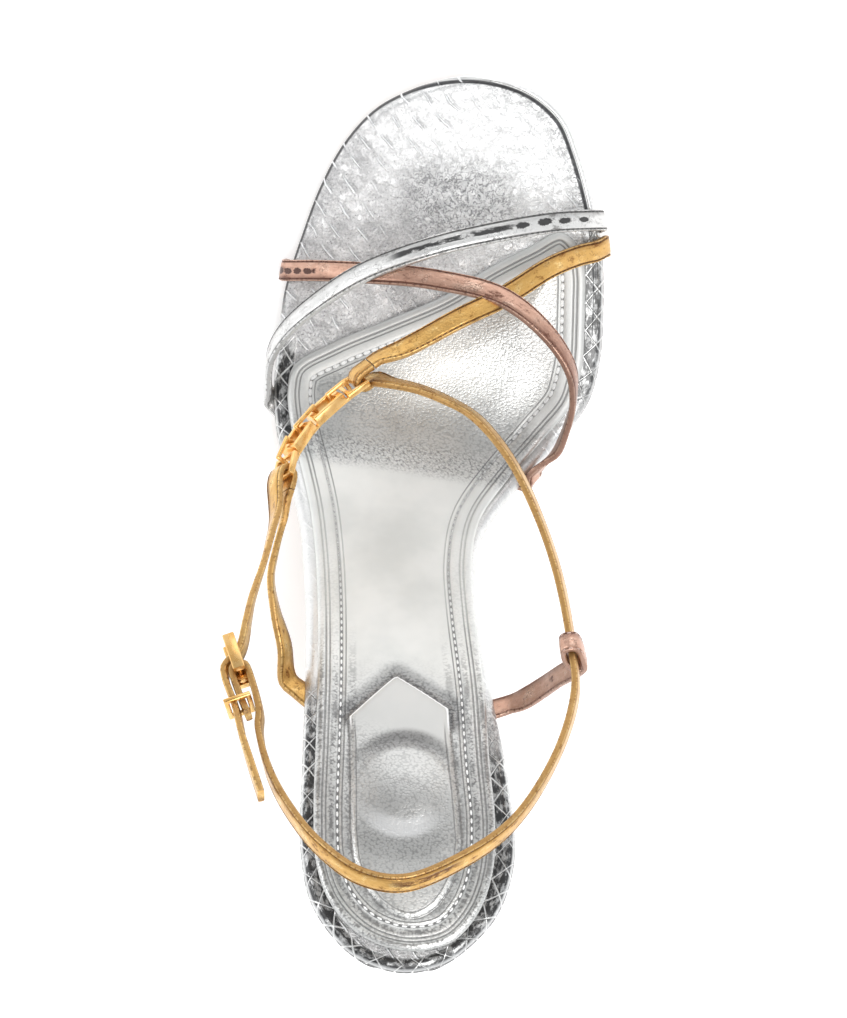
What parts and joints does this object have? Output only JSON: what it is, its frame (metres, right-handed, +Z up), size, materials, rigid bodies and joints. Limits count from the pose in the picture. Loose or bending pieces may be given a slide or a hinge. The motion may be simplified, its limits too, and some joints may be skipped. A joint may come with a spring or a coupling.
{
  "type": "strappy heeled sandal",
  "caption": "Strappy high-heeled sandal with crossed vamp straps, a box-link side chain and a buckled ankle strap.",
  "frame": {"origin": "middle of the forefoot's flat tread, on the floor", "axes": "+Y points to the toe along the shoe's length, +X to the big toe's side, +Z up"},
  "size_m": [0.085, 0.2141, 0.1423],
  "materials": {
    "outsole": "smooth",
    "insole_board": "embossed silver",
    "footbed": "smooth silver",
    "heel": "covered",
    "heel_tip": "matt",
    "upper": "metallic",
    "ankle_strap": "metallic",
    "medial_anchor": "metallic",
    "lateral_anchor": "metallic",
    "buckle_strap": "metallic",
    "buckle_frame": "polished",
    "buckle_prong": "polished",
    "keeper": "polished",
    "front_ring": "polished",
    "chain_link_front": "polished",
    "chain_link_rear": "polished",
    "rear_ring": "polished",
    "jump_ring_1": "polished",
    "jump_ring_2": "polished",
    "jump_ring_3": "polished"
  },
  "bodies": {
    "root": {"outsole": "outsole", "insole_board": "insole_board", "footbed": "footbed", "heel": "heel", "heel_tip": "heel_tip", "upper": "upper", "ankle_strap": "ankle_strap", "medial_anchor": "medial_anchor", "lateral_anchor": "lateral_anchor", "buckle_strap": "buckle_strap", "buckle_frame": "buckle_frame", "buckle_prong": "buckle_prong", "keeper": "keeper", "front_ring": "front_ring", "chain_link_front": "chain_link_front", "chain_link_rear": "chain_link_rear", "rear_ring": "rear_ring", "jump_ring_1": "jump_ring_1", "jump_ring_2": "jump_ring_2", "jump_ring_3": "jump_ring_3"}
  },
  "joints": []
}
